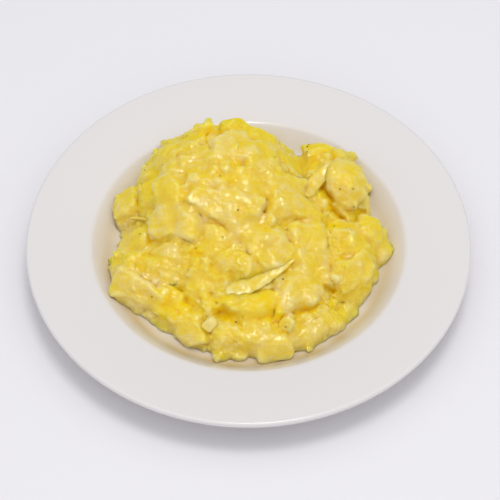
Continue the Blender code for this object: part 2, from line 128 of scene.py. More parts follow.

# the pieces that the viewer sees, in millimetres and degrees: kind, x, y, length, width, thickness,
# turn, lean towards the viewer, rise out of the mound, and tone from 0, pale, to 1, deep yellow,
# which is partly the piece's own tone and partly painted shade on pieces that lie in shade
SEEN_PIECES = (
    # the crest
    ("wedge", -22, 52, 15, 9, 9, 90, 0, 6, 0.5),
    ("lump", -8, 52, 18, 13, 12, 10, 0, 4, 0.8),
    ("block", -31, 44, 19, 16, 12, 15, 0, -1, 0.5),
    ("lump", -44, 40, 18, 20, 13, -20, 0, 0, 0.45),
    ("block", 5, 49, 16, 14, 12, -10, 0, 2, 0.6),
    ("lump", 15, 45, 14, 14, 12, 30, 0, 1, 0.4),
    ("lump", 24, 49, 12, 14, 12, 10, 0, 2, 0.5),
    ("block", -9, 36, 21, 19, 13, 3, -6, 1, 0.1),
    ("slice", -24, 27, 28, 14, 8, -6, -14, 0, 0.2),
    ("block", 6, 31, 17, 24, 12, 8, 0, 0, 0.3),
    ("block", 23, 36, 14, 15, 11, -20, 0, 1, 0.6),
    # the upper slope
    ("lump", -43, 25, 15, 15, 11, 10, 0, 0, 0.2),
    ("lump", -56, 21, 16, 19, 12, 0, 0, 0, 0.5),
    ("block", -43, 12, 16, 20, 12, 5, 0, 0, 0.5),
    ("block", -68, 25, 16, 20, 14, 10, 0, -1, 0.45),
    ("lump", -26, 14, 17, 14, 10, -20, 0, -1, 0.5),
    ("lump", -10, 18, 17, 12, 10, 15, 0, -1, 0.7),
    ("block", 3, 14, 20, 14, 11, 4, 0, -1, 0.3),
    ("lump", 11, 24, 14, 10, 9, 60, 0, -1, 0.6),
    # the middle
    ("block", -40, -3, 31, 18, 12, -4, 8, 2, 0.15),
    ("wedge", -13, 0, 37, 25, 13, 158, 4, 0.3, 0.25),
    ("block", 19, 11, 24, 23, 15, 12, 6, 2, 0.35),
    ("block", 33, 9, 10, 21, 14, 14, 0, -1, 0.1),
    ("lump", 22, -4, 17, 9, 9, -10, 0, -3, 0.9),
    ("lump", -18, -14, 18, 12, 10, -25, 0, 0, 0.4),
    ("lump", -33, -16, 19, 10, 9, -10, 0, -2, 0.9),
    ("slice", 12, -20, 28, 23, 11, -12, 4, 1, 0.35),
    ("block", 32, -12, 19, 23, 13, 12, 0, 1, 0.3),
    ("block", -42, -18, 11, 9, 9, 0, 0, 0, 0.1),
    ("lump", -43, -27, 23, 15, 10, -15, 0, -1, 0.45),
    ("lump", -9, -26, 17, 15, 11, 20, 0, 0, 0.3),
    ("lump", -16, -33, 14, 12, 9, 0, 0, -1, 0.6),
    ("block", -28, -30, 16, 10, 9, -8, 0, -3, 0.1),
    ("lump", 3, -33, 18, 14, 10, -28, 0, -1, 0.7),
    # the left side
    ("lump", -60, -2, 14, 17, 11, 10, 0, 0, 0.5),
    ("lump", -69, -10, 14, 17, 12, 0, 0, 0, 0.4),
    ("lump", -68, -22, 16, 15, 12, 15, 0, 0, 0.4),
    ("wedge", -58, -35, 32, 17, 13, -24, 4, 1, 0.2),
    ("block", -40, -43, 20, 16, 13, -30, 6, 1, 0.95),
    ("lump", -26, -38, 16, 11, 10, -8, 0, 1, 0.5),
    ("lump", -47, -49, 18, 11, 11, -28, 0, -1, 0.5),
    # the front
    ("half", 1, -48, 34, 17, 11, -4, 14, 2, 0.85),
    ("lump", -12, -43, 10, 18, 11, 25, 0, 0, 0.2),
    ("block", 27, -36, 27, 25, 13, 30, -4, 2, 0.2),
    ("lump", 37, -29, 16, 16, 11, 20, 0, 2, 0.15),
    ("block", 20, -45, 14, 14, 11, 10, -6, 1, 0.3),
    ("lump", 36, -45, 20, 14, 10, 28, 0, -3, 0.9),
    ("lump", 22, -55, 17, 10, 9, 8, 0, -2, 0.6),
    ("lump", 46, -50, 14, 12, 12, 20, 0, -0.5, 0.5),
    ("block", -31, -57, 15, 18, 15, 8, 0, -1, 0.4),
    ("onion", -19, -56, 12, 9, 5, -35, 30, 4, 0),
    ("lump", -12, -64, 17, 15, 13, -10, 0, 0, 0.5),
    ("lump", 0, -64, 16, 16, 13, 20, 0, 0, 0.4),
    ("lump", 8, -55, 17, 10, 9, 5, 0, -1, 0.4),
    ("block", 13, -67, 18, 15, 14, 5, 0, 0, 0.45),
    ("lump", 27, -61, 15, 12, 12, 12, 0, -1, 0.4),
    ("lump", 37, -57, 15, 12, 12, 25, 0, -1, 0.4),
    # the right side
    ("block", 56, -25, 24, 15, 12, 38, 4, 0, 0.4),
    ("lump", 59, -33, 17, 14, 12, 40, 0, -1, 0.6),
    ("lump", 53, -43, 15, 13, 12, 45, 0, 0, 0.5),
    ("lump", 47, -5, 17, 18, 11, 0, 0, -2.5, 0.8),
    ("lump", 43, -18, 14, 14, 11, 0, 0, -2.5, 0.75),
    ("lump", 58, -6, 12, 18, 11, 10, 0, -1, 0.5),
    ("lump", 66, 4, 16, 20, 15, 0, 0, 0, 0.5),
    ("lump", 63, -14, 15, 14, 12, 20, 0, -1, 0.5),
    # the lobe at the right
    ("lump", 53, 27, 25, 27, 18, 20, 0, 2, 0.4),
    ("block", 40, 15, 14, 14, 10, 10, 0, -2, 0.9),
    ("lump", 53, 12, 15, 11, 10, 0, 0, -1, 0.7),
    ("block", 39, 48, 14, 14, 13, 12, 0, 3, 0.6),
    ("lump", 52, 47, 14, 12, 12, -20, 0, 2, 0.4),
    ("lump", 29, 46, 12, 14, 12, 0, 0, 1, 0.5),
    ("block", 35, 36, 12, 12, 9, 0, 0, -1, 0.95),
    ("onion", 40, 33, 30, 10, 3, 47, 0, 10, 0),
    # slivers of onion that lie on top
    ("onion", 9, -31, 34, 6, 3, 30, -20, 5, 0),
    ("onion", -60, 13, 11, 3, 3, 2, 0, 4, 0),
)
# how firm each kind still is, from 0 like the mash to 1
FIRMNESS = {"block": 1, "wedge": 1, "slice": 1, "half": 1, "lump": 0.6, "crumb": 0}

# how far the corners of each kind wander and how far its edges are worn back, as shares of its size
BLOCK_WANDER, BLOCK_WEAR = 0.07, 0.15
WEDGE_WANDER, WEDGE_WEAR = 0.05, 0.12
SLICE_WANDER, SLICE_WEAR = 0.03, 0.11
LUMP_WANDER, LUMP_WEAR = 0.04, 0.26
CRUMB_WANDER = 0.05
# a lump and a crumb start a little larger than their size, because their corners are worn off
LUMP_SIDE, CRUMB_RADIUS = 1.04, 0.58
WEDGE_END_WIDTH, WEDGE_END_THICKNESS = 0.35, 0.6
SLICE_SIDES = 10
# broken corners of the firm pieces: how many, how far from the middle they are cut, never less deep
# than the least cut, and how far the cuts turn away from the corners
BROKEN_CORNERS = 5
BROKEN_AT = (0.48, 0.68)
LEAST_CUT = 0.02
BROKEN_TURN = 0.6

# the pieces that fill the rest: the rounds with how far apart the pieces stay and their size,
# then the first round's sizes, kinds and lean, and the mound's points that are tried
FILL_ROUNDS = ((16 * MM, 1.0), (12.5 * MM, 0.65))
FILL_LENGTHS = (17 * MM, 25 * MM)
FILL_WIDTHS = (13 * MM, 18 * MM)
FILL_THICKNESSES = (10 * MM, 13 * MM)
FILL_KINDS = ("block", "lump", "slice", "block", "lump", "wedge")
FILL_LEAN = math.radians(14)
FILL_LOWEST = WELL_HEIGHT + 2 * MM
FILL_TONES = (0.1, 0.7)
FILL_TRIES = 260
SEED = 41

# the mash between the pieces: a core and grains of potato, melted into one skin
MASH_INSET = 1.0 * MM
GRAIN_TRIES = 1300
GRAIN_STEP = 4.4 * MM
GRAIN_SIZES = (3.2 * MM, 9.5 * MM)
GRAIN_SINK = 1.5 * MM
GRAIN_LOWEST = WELL_HEIGHT + 1 * MM
# crumbs that stick to everything, in drifts, fewer and smaller on the firm pieces
CRUMB_TRIES = 3000
CRUMB_STEP = 3.2 * MM
CRUMB_SIZES = (1.8 * MM, 7.0 * MM)
CRUMB_START = 25 * MM
CRUMB_RISES = (-0.35, 0.05)
CRUMB_CHANCE = 0.4
DRIFT_LENGTH = 14 * MM
FIRM_CRUMBS = 0.1
FIRM_SHRINK = 0.6
# the higher, the more of the grains and crumbs are small, and how their sides differ
GRAIN_FINENESS, CRUMB_FINENESS = 1.8, 2.2
SIDE_SPREAD = (0.7, 1.3)

# the skin of the whole heap, and how often the dressing settles into its creases
SKIN_VOXEL = 0.73 * MM
SKIN_SMOOTHING = 2
CREASE_ROUNDS = 30
# soft pieces have no straight edges: over what lengths and how far they are pushed out of shape
WARP = ((10 * MM, 1.7 * MM), (4.5 * MM, 0.9 * MM))
# the skin's own roughness as lengths and heights: all over, and in the mash, which firm pieces have less of
BROAD_WAVES = ((12 * MM, 0.9 * MM), (5 * MM, 0.45 * MM))
CRUMBLY_WAVES = ((2.6 * MM, 0.35 * MM), (1.5 * MM, 0.2 * MM))
FIRM_CALM = 0.7
# the fine furrows that the knife leaves on a firm piece: their length, width and height
FURROW_LENGTH, FURROW_WIDTH, FURROW_HEIGHT = 9 * MM, 1.7 * MM, 0.22 * MM
# a piece's tone and firmness reach this far, where 1 is its own face, and fade out over this much
PIECE_REACH, PIECE_FADE = 1.22, 0.12

# how deep in colour the plain mash is, from 0 to 1, and its tone among the pieces' tones
FLESH_DEPTH = 0.44
MASH_TONE = 0.45
# how much deeper the colour gets by a piece's tone, and by painted shade in narrow and in broad hollows and
# in the salad's own shade
TONE_SHARE, NARROW_SHARE, BROAD_SHARE, SHADE_SHARE = 0.45, 0.18, 0.1, 0.65
# how much paler it gets on furrows, on faces that turn away from the way given below, and at the heap's foot
FURROW_SHARE, TURNED_AWAY_SHARE, FOOT_SHARE = 0.15, 0.28, 0.1
# hollows: rounds of smoothing that level them, and the depth that counts as full
NARROW_HOLLOWS, BROAD_HOLLOWS = (12, 1 * MM), (80, 3 * MM)
# faces that look this way keep their full colour, and the others are paler
FULL_COLOUR_WAY = (0, -0.35, 0.94)
# the heap's foot reaches this high over the well
FOOT_HEIGHT = 12 * MM
# the salad's own shade: how far away the shading salad may be, how far over the face the look starts,
# the share of the ways up that is blocked as a rule, and the ways that are tried
SHADE_REACH = 15 * MM
SHADE_START = 0.5 * MM
USUAL_SHADE = 0.45
SHADE_WAYS = (
    (0, 0, 1), (0.7, 0, 0.7), (-0.7, 0, 0.7), (0, 0.7, 0.7), (0, -0.7, 0.7),
    (0.6, -0.7, 0.4), (-0.6, -0.7, 0.4),
)

# clefts between the pieces: how uneven their edges are, how steep their flanks,
# and for each two ends in the photograph, reach and depth in millimetres
CLEFT_WAVES, CLEFT_WANDER = ((4 * MM, 1.0), (2 * MM, 0.4)), 0.45
CLEFT_FLANK = 1.3
CLEFTS = (
    ((222, 312), (236, 320), 4.5, 5.5),
    ((324, 187), (331, 197), 3.5, 6),
    ((333, 211), (343, 219), 3, 5),
    ((360, 211), (365, 212), 2.5, 4),
    ((326, 288), (333, 291), 2.5, 4),
    ((295, 312), (322, 302), 4, 3.5),
    ((186, 300), (200, 311), 3, 2.5),
)

# specks of ground pepper, as seen in the photograph, their radii and how uneven they are
PEPPER_SPOTS = (
    (275, 157), (220, 176), (238, 210), (223, 237), (196, 248), (140, 234), (152, 297), (283, 279),
    (236, 322), (286, 327), (340, 189), (353, 189), (354, 207), (307, 152), (334, 226), (189, 270),
)
PEPPER_RADII = (0.3 * MM, 0.5 * MM)
PEPPER_SPREAD = (0.75, 1.2)
# specks behind: how many, the half ring from which they are dropped on the heap, and where they are aimed
PEPPER_BEHIND = 14
RING_MIDDLE, RING_RADIUS, RING_HEIGHTS = 35 * MM, 90 * MM, (30 * MM, 75 * MM)
AIM_ACROSS, AIM_ALONG, AIM_HEIGHTS = (-40 * MM, 40 * MM), (10 * MM, 50 * MM), (15 * MM, 35 * MM)

# strips of onion: path in the photograph, width, thickness and rise in millimetres,
# the share of the width at both ends, how far its right side tips up, and how white it is
LONG_SLIVER = ((295, 259), (284, 266), (272, 275), (259, 283), (244, 289), (226, 293))
ARCHED_SLIVER = ((306, 197), (311, 186), (320, 176), (334, 166), (353, 158))
THIN_STRAND = ((129, 219), (134, 218), (141, 218), (147, 220))
SMALL_BLOCK = ((204, 331), (209, 325), (215, 319))
ONION_STRIPS = (
    (LONG_SLIVER, 11.5, 1.0, 1.2, (0.1, 1), 0.25, 0.05),
    (ARCHED_SLIVER, 8.5, 1.0, 1.2, (1, 0.8), 0.08, 0.05),
    (THIN_STRAND, 2.6, 1.2, 0.4, (0.6, 0.6), 0, 0.05),
    (SMALL_BLOCK, 6.5, 2.0, 2.2, (1, 1), 0, 0.35),
)
ONION_SECTIONS, ONION_SIDES = 22, 12
# how often a strip's path is eased, and how much it lies flat on the heap or shows the viewer its face
ONION_EASING = 30
ONION_LIES, ONION_SHOWS = 0.5, 0.8
# how much a strip arches across its width, how many millimetres its ends sink into the heap, and from
# where on, as a share of the way from its middle to its end
ONION_ARCH = 0.18
ONION_SINK, ONION_SINKS_FROM = 2.52, 0.4
ONION_WAVES = ((3 * MM, 0.25 * MM),)


def new_object(name, shape):
    """An object made from a finished bmesh."""
    mesh = bpy.data.meshes.new(name)
    shape.to_mesh(mesh)
    shape.free()
    thing = bpy.data.objects.new(name, mesh)
    bpy.context.scene.collection.objects.link(thing)
    return thing


def add_shape(shape, piece):
    """Adds a finished bmesh to a bigger one."""
    mesh = bpy.data.meshes.new("piece")
    piece.to_mesh(mesh)
    piece.free()
    shape.from_mesh(mesh)
    bpy.data.meshes.remove(mesh)


def bake_modifiers(thing):
    """Keeps what the modifiers give as the object's own mesh."""
    graph = bpy.context.evaluated_depsgraph_get()
    result = bpy.data.meshes.new_from_object(thing.evaluated_get(graph))
    thing.modifiers.clear()
    thing.data = result


def finish_piece(thing, material, node):
    """Gives a finished piece its smooth shading, its material and its place in the model."""
    thing.data.materials.clear()
    thing.data.materials.append(material)
    thing.data.polygons.foreach_set("use_smooth", [True] * len(thing.data.polygons))
    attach(thing, "root")
    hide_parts(node)


def linear(hex_colour):
    """The linear colour of an sRGB hex value."""
    values = [int(hex_colour[i : i + 2], 16) / 255 for i in (1, 3, 5)]
    return (*[v / 12.92 if v <= 0.04045 else ((v + 0.055) / 1.055) ** 2.4 for v in values], 1)


def add_node(tree, kind, settings=None, values=None, links=None):
    """Adds a shader node with its settings, its input values, and links from other nodes' outputs."""
    node = tree.nodes.new("ShaderNode" + kind)
    for name, value in (settings or {}).items():
        setattr(node, name, value)
    for name, value in (values or {}).items():
        node.inputs[name].default_value = value
    for name, (source, output) in (links or {}).items():
        tree.links.new(source.outputs[output], node.inputs[name])
    return node


def new_material(name):
    """An empty node material, its shader and its object coordinates."""
    material = bpy.data.materials.new(name)
    material.use_nodes = True
    tree = material.node_tree
    shader = tree.nodes["Principled BSDF"]
    place = (add_node(tree, "TexCoord"), "Object")
    return material, tree, shader, place


def soft_gloss(tree, shader, normal, weight):
    """A wet coat that fades out where the surface turns away, as it does on soft food."""
    turned = add_node(tree, "LayerWeight", values={"Blend": 0.5}, links={"Normal": normal})
    open_face = add_node(
        tree, "MapRange", values={"From Min": 0.2, "From Max": 0.6, "To Min": 1.0, "To Max": 0.0},
        links={"Value": (turned, "Facing")},
    )
    wet = add_node(tree, "Math", {"operation": "MULTIPLY"}, links={0: (open_face, "Result"), 1: weight})
    tree.links.new(wet.outputs[0], shader.inputs["Coat Weight"])


def glazed_porcelain():
    """Glazed porcelain: a dense white body under clear glass, tinted tan by the dressing on it and by painted
    shadow and painted reflection of the salad.
    """
    material, tree, shader, place = new_material("glazed_porcelain")
    film = add_node(tree, "Attribute", {"attribute_name": "film"})
    ramp = add_node(tree, "ValToRGB", links={"Fac": (film, "Fac")})
    ramp.color_ramp.elements[0].color = linear("#E3DFDE")
    # the tan end: dressing, painted shadow round the salad and painted reflection of the salad
    ramp.color_ramp.elements[1].color = linear("#CEB98A")
    tree.links.new(ramp.outputs["Color"], shader.inputs["Base Color"])
    shader.inputs["Roughness"].default_value = 0.16
    shader.inputs["IOR"].default_value = 1.5
    # the glaze waves over about 30 mm
    wave = add_node(tree, "TexNoise", values={"Scale": 1 / (30 * MM), "Detail": 1}, links={"Vector": place})
    bump = add_node(
        tree, "Bump", values={"Strength": 0.12, "Distance": 0.4 * MM}, links={"Height": (wave, "Fac")}
    )
    tree.links.new(bump.outputs["Normal"], shader.inputs["Normal"])
    return material


def flesh_colour(tree, place, shader):
    """Colours the flesh by how deep it is at each place, and gives that depth, with patches of its own. The
    depth holds painted shade as well as the flesh's own tones.
    """
    depth = add_node(tree, "Attribute", {"attribute_name": "depth"})
    # the flesh varies in patches of about 10 mm
    patches = add_node(
        tree, "TexNoise", values={"Scale": 1 / (10 * MM), "Detail": 4, "Roughness": 0.65},
        links={"Vector": place},
    )
    mixed = add_node(
        tree, "Math", {"operation": "MULTIPLY_ADD"}, {1: 0.9}, {0: (patches, "Fac"), 2: (depth, "Fac")}
    )
    # half of the patches' share comes off again, so that they only swing about the depth
    spread = add_node(tree, "Math", {"operation": "SUBTRACT"}, {1: 0.45}, {0: (mixed, 0)})
    ramp = add_node(tree, "ValToRGB", links={"Fac": (spread, 0)})
    ramp.color_ramp.elements[0].position = 0.0
    ramp.color_ramp.elements[0].color = linear("#E8D183")
    # the brown end shows mostly where painted shade deepens the colour, in hollows and under the pieces
    ramp.color_ramp.elements[1].position = 0.95
    ramp.color_ramp.elements[1].color = linear("#DCA61A")
    ramp.color_ramp.elements.new(0.7).color = linear("#EECD08")
    ramp.color_ramp.elements.new(0.37).color = linear("#E9CC3A")
    tree.links.new(ramp.outputs["Color"], shader.inputs["Base Color"])
    return spread


def flesh_relief(tree, place):
    """The grain of the flesh under a film of dressing, which stands in beads where it is crumbled."""
    # starch grains and broken cells are finer than the picture shows, so they are drawn 1.3 mm wide
    grain = add_node(
        tree, "TexNoise", values={"Scale": 1 / (1.3 * MM), "Detail": 3, "Roughness": 0.55},
        links={"Vector": place},
    )
    bump = add_node(
        tree, "Bump", values={"Strength": 0.35, "Distance": 0.8 * MM}, links={"Height": (grain, "Fac")}
    )
    # the film wraps round beads of about 2.4 mm, and each of them glints; they come in drifts of 9 mm
    firm = add_node(tree, "Attribute", {"attribute_name": "firm"})
    drifts = add_node(tree, "TexNoise", values={"Scale": 1 / (9 * MM), "Detail": 2}, links={"Vector": place})
    crumbled = add_node(
        tree, "MapRange", values={"From Min": 0.4, "From Max": 0.6, "To Min": 0.1, "To Max": 1.0},
        links={"Value": (drifts, "Fac")},
    )
    beaded = add_node(
        tree, "MapRange", values={"From Min": 0.0, "From Max": 1.0, "To Max": 0.2},
        links={"Value": (firm, "Fac"), "To Min": (crumbled, "Result")},
    )
    beads = add_node(
        tree, "TexVoronoi", {"feature": "SMOOTH_F1"}, {"Scale": 1 / (2.4 * MM), "Smoothness": 0.25},
        {"Vector": place},
    )
    return add_node(
        tree, "Bump", {"invert": True}, {"Distance": 1.6 * MM},
        {"Height": (beads, "Distance"), "Strength": (beaded, "Result"), "Normal": (bump, "Normal")},
    )


def dressed_potato():
    """Boiled yellow potato, moist with dressing: waxy, lit from inside, with a wet coat that glints."""
    material, tree, shader, place = new_material("dressed_potato")
    spread = flesh_colour(tree, place, shader)
    shader.inputs["Roughness"].default_value = 0.35
    shader.inputs["IOR"].default_value = 1.45
    shader.inputs["Subsurface Weight"].default_value = 1.0
    shader.inputs["Subsurface Radius"].default_value = (1.0, 1.0, 0.3)
    shader.inputs["Subsurface Scale"].default_value = 9 * MM
    shader.inputs["Specular IOR Level"].default_value = 0.0
    shader.inputs["Coat Roughness"].default_value = 0.08
    shader.inputs["Coat IOR"].default_value = 1.7
    film = flesh_relief(tree, place)
    tree.links.new(film.outputs["Normal"], shader.inputs["Normal"])
    tree.links.new(film.outputs["Normal"], shader.inputs["Coat Normal"])
    # the film thins out where the colour is deep, which turns the gloss down in the hollows and in the
    # painted shade
    film_weight = add_node(
        tree, "MapRange", values={"From Min": 0.25, "From Max": 0.75, "To Min": 1.0, "To Max": 0.3},
        links={"Value": (spread, 0)},
    )
    soft_gloss(tree, shader, (film, "Normal"), (film_weight, "Result"))
    return material


def onion_flesh():
    """Raw white onion, thin and wet: pale, glossy, and clouded where the dressing has tinted it."""
    material, tree, shader, place = new_material("onion_flesh")
    white = add_node(tree, "Attribute", {"attribute_name": "white"})
    # the dressing lies on it in spots of about 4 mm
    cloud = add_node(tree, "TexNoise", values={"Scale": 1 / (4 * MM), "Detail": 3}, links={"Vector": place})
    mixed = add_node(
        tree, "Math", {"operation": "MULTIPLY_ADD"}, {1: 1.4}, {0: (cloud, "Fac"), 2: (white, "Fac")}
    )
    ramp = add_node(tree, "ValToRGB", links={"Fac": (mixed, 0)})
    ramp.color_ramp.elements[0].position = 0.6
    ramp.color_ramp.elements[0].color = linear("#EACB3C")
    ramp.color_ramp.elements[1].position = 1.0
    ramp.color_ramp.elements[1].color = linear("#EEDA84")
    tree.links.new(ramp.outputs["Color"], shader.inputs["Base Color"])
    shader.inputs["Roughness"].default_value = 0.25
    shader.inputs["IOR"].default_value = 1.36
    shader.inputs["Subsurface Weight"].default_value = 0.6
    shader.inputs["Subsurface Radius"].default_value = (1.0, 0.9, 0.5)
    shader.inputs["Subsurface Scale"].default_value = 1.5 * MM
    shader.inputs["Specular IOR Level"].default_value = 0.1
    shader.inputs["Coat Roughness"].default_value = 0.1
    shader.inputs["Coat IOR"].default_value = 1.6
    bump = add_node(
        tree, "Bump", values={"Strength": 0.5, "Distance": 0.8 * MM}, links={"Height": (cloud, "Fac")}
    )
    tree.links.new(bump.outputs["Normal"], shader.inputs["Normal"])
    tree.links.new(bump.outputs["Normal"], shader.inputs["Coat Normal"])
    soft_gloss(tree, shader, (bump, "Normal"), (cloud, "Fac"))
    return material


def ground_pepper():
    """Ground black pepper: dull, dark brown broken husk, with grit of half a millimetre in it."""
    material, tree, shader, place = new_material("ground_pepper")
    spots = add_node(tree, "TexNoise", values={"Scale": 1 / (0.5 * MM), "Detail": 1}, links={"Vector": place})
    ramp = add_node(tree, "ValToRGB", links={"Fac": (spots, "Fac")})
    ramp.color_ramp.elements[0].color = linear("#2A1C10")
    ramp.color_ramp.elements[1].color = linear("#6B4A22")
    tree.links.new(ramp.outputs["Color"], shader.inputs["Base Color"])
    shader.inputs["Roughness"].default_value = 0.6
    return material


def table_top():
    """A plain pale studio floor, painted matt."""
    material, _, shader, _ = new_material("table_top")
    shader.inputs["Base Color"].default_value = linear("#EDEBEE")
    shader.inputs["Roughness"].default_value = 0.7
    return material


def photo_ray(spot):
    """Where the sight line through a point of the photograph starts, and its direction."""
    right = Vector((1, 0, 0))
    up = BACK.cross(right)
    focal_pixels = LENS / SENSOR_WIDTH * PHOTO_SIZE
    across = spot[0] - PHOTO_SIZE / 2
    down = spot[1] - PHOTO_SIZE / 2
    direction = (right * across - up * down - BACK * focal_pixels).normalized()
    return AIM + BACK * CAMERA_DISTANCE, direction


def add_camera():
    """The photograph's camera."""
    data = bpy.data.cameras.new("camera")
    data.sensor_width = SENSOR_WIDTH
    data.lens = LENS
    camera = bpy.data.objects.new("camera", data)
    bpy.context.scene.collection.objects.link(camera)
    camera.location = AIM + BACK * CAMERA_DISTANCE
    camera.rotation_mode = "QUATERNION"
    camera.rotation_quaternion = (-BACK).to_track_quat("-Z", "Y")
    bpy.context.scene.camera = camera


def add_lamp(name, place, size, watts):
    """A square lamp that looks at the origin."""
    data = bpy.data.lights.new(name, "AREA")
    data.shape = "SQUARE"
    data.size = size
    data.energy = watts
    lamp = bpy.data.objects.new(name, data)
    bpy.context.scene.collection.objects.link(lamp)
    lamp.location = place
    lamp.rotation_mode = "QUATERNION"
    lamp.rotation_quaternion = (-Vector(place)).to_track_quat("-Z", "Y")


def add_room():
    """A pale room, bright overhead and behind the viewer, and the lamps in it."""
    bpy.context.scene.view_settings.view_transform = "Standard"
    world = bpy.data.worlds.new("room")
    world.use_nodes = True
    tree = world.node_tree
    background = tree.nodes["Background"]
    background.inputs["Color"].default_value = (0.96, 0.97, 1.0, 1)
    direction = add_node(tree, "TexCoord")
    parts = add_node(tree, "SeparateXYZ", links={"Vector": (direction, "Generated")})
    sky = add_node(
        tree, "MapRange", values={"From Min": 0.0, "From Max": 0.7, "To Min": ROOM_LOW, "To Max": ROOM_HIGH},
        links={"Value": (parts, "Z")},
    )
    walls = add_node(
        tree, "Math", {"operation": "MULTIPLY_ADD"}, {1: -ROOM_LOSS}, {0: (parts, "Y"), 2: (sky, "Result")}
    )
    tree.links.new(walls.outputs[0], background.inputs["Strength"])
    bpy.context.scene.world = world
    for lamp in LAMPS:
        add_lamp(*lamp)


def add_floor():
    """The table top, which isn't part of the object."""
    shape = bmesh.new()
    bmesh.ops.create_grid(shape, x_segments=1, y_segments=1, size=FLOOR_REACH)
    floor = new_object("floor", shape)
    floor.data.materials.append(table_top())


def rounded_corner(before, corner, after, radius, steps):
    """Points along the arc that rounds a corner of an outline."""
    corner = Vector(corner)
    back = (Vector(before) - corner).normalized()
    ahead = (Vector(after) - corner).normalized()
    half_angle = back.angle(ahead) / 2
    reach = radius / math.tan(half_angle)
    middle = corner + (back + ahead).normalized() * radius / math.sin(half_angle)
    first = (corner + back * reach - middle).normalized()
    last = (corner + ahead * reach - middle).normalized()
    return [middle + first.slerp(last, i / steps) * radius for i in range(steps + 1)]


def outline(corners):
    """Points of an outline whose corners are given as radius, height and rounding."""
    points = []
    for i, (radius, height, rounding) in enumerate(corners):
        here = (radius, 0, height)
        if not rounding:
            points.append(Vector(here))
            continue
        before = (corners[i - 1][0], 0, corners[i - 1][1])
        after = (corners[i + 1][0], 0, corners[i + 1][1])
        points += rounded_corner(before, here, after, rounding, CORNER_STEPS)
    return points


def upper_corners(lift):
    """Corners of the plate's upper face out to the lip, raised by a small lift."""
    return [
        (0, WELL_HEIGHT + lift, 0),
        *[(radius, WELL_HEIGHT + lift, 0) for radius in WELL_RINGS],
        (WELL_RADIUS, WELL_HEIGHT + lift, WELL_ROUND),
        (SHOULDER_RADIUS, SHOULDER_HEIGHT + lift, SHOULDER_ROUND),
    ]


def turned(name, corners, steps):
    """A closed shape turned about the Z axis from the corners of its section."""
    shape = bmesh.new()
    points = [shape.verts.new(point) for point in outline(corners)]
    edges = [shape.edges.new(pair) for pair in zip(points, points[1:])]
    bmesh.ops.spin(
        shape, geom=points + edges, cent=(0, 0, 0), axis=(0, 0, 1), angle=FULL_TURN, steps=steps,
        use_merge=True,
    )
    bmesh.ops.remove_doubles(shape, verts=shape.verts[:], dist=0.001 * MM)
    bmesh.ops.recalc_face_normals(shape, faces=shape.faces[:])
    return new_object(name, shape)


def make_plate():
    """The white plate, with its foot ring."""
    corners = [
        *upper_corners(0),
        (PLATE_RADIUS, PLATE_HEIGHT, LIP_ROUND),
        (PLATE_RADIUS, PLATE_HEIGHT - LIP_THICKNESS, LIP_ROUND),
        (UNDERSIDE_RISE_RADIUS, SHOULDER_HEIGHT - WALL_THICKNESS, SHOULDER_ROUND),
        (UNDERSIDE_TURN_RADIUS, UNDERSIDE_TURN_HEIGHT, SHOULDER_ROUND),
        (FOOT_OUTER_RADIUS, UNDERSIDE_HEIGHT, 0),
        (FOOT_OUTER_RADIUS, 0, FOOT_ROUND),
        (FOOT_INNER_RADIUS, 0, FOOT_ROUND),
        (FOOT_INNER_RADIUS, UNDERSIDE_HEIGHT, 0),
        (0, UNDERSIDE_HEIGHT, 0),
    ]
    return turned("plate_turned", corners, PLATE_STEPS)


def tint_plate_with_film_and_shade(plate, tree):
    """Marks how much tan lies on the glaze: dressing and painted shadow round the salad, and painted
    reflection and shade of the salad on the wall in front.
    """
    rows = positions(plate)
    patches = soft_noise(rows, PATCH_LENGTH, 31)
    film = []
    for row, patch in zip(rows, patches):
        spot = Vector(row)
        # the band is painted reflection and shade of the salad, strongest on the wall in front
        frontness = 0.5 - 0.5 * math.sin(math.atan2(spot.y, spot.x))
        strength = PAINTED_BAND_BACK + (PAINTED_BAND_FRONT - PAINTED_BAND_BACK) * frontness * (1 + PATCH_CONTRAST * patch)
        ring = max(1 - abs(spot.xy.length - PAINTED_BAND_RADIUS) / PAINTED_BAND_HALF_WIDTH, 0)
        # dressing and painted shadow lie close round the salad's foot
        near = max(1 - tree.find_nearest(spot)[3] / FILM_AND_SHADOW_REACH, 0)
        film.append(min(max(ring * strength, FILM_AND_SHADOW_STRENGTH * near), 1))
    store(plate, "film", film)


def make_plate_cutter():
    """What the salad can't reach: the plate and all that is below and outside its upper face."""
    outside = PLATE_RADIUS + CUTTER_MARGIN
    corners = [
        *upper_corners(GAP),
        (PLATE_RADIUS, PLATE_HEIGHT + GAP, 0),
        (outside, PLATE_HEIGHT + GAP, 0),
        (outside, -CUTTER_MARGIN, 0),
        (0, -CUTTER_MARGIN, 0),
    ]
    cutter = turned("plate_cutter", corners, CUTTER_STEPS)
    cutter.hide_render = True
    return cutter


def mound_height(x, y):
    """Height of the mound's face over the table."""
    total = 0
    for middle_x, middle_y, half_width, half_depth, height, turn in DOMES:
        angle = math.radians(turn)
        across = x - middle_x * MM
        along = y - middle_y * MM
        u = (across * math.cos(angle) + along * math.sin(angle)) / (half_width * MM)
        v = (along * math.cos(angle) - across * math.sin(angle)) / (half_depth * MM)
        inside = max(1 - u * u - v * v, 0)
        total += math.exp(height * MM * math.sqrt(inside) / DOME_BLEND)
    return DOME_MIDDLE_HEIGHT + DOME_BLEND * math.log(total)


def mound_facing(x, y):
    """The direction in which the mound's face looks."""
    step = 3 * MM
    slope_x = (mound_height(x + step, y) - mound_height(x - step, y)) / (2 * step)
    slope_y = (mound_height(x, y + step) - mound_height(x, y - step)) / (2 * step)
    return Vector((-slope_x, -slope_y, 1)).normalized()


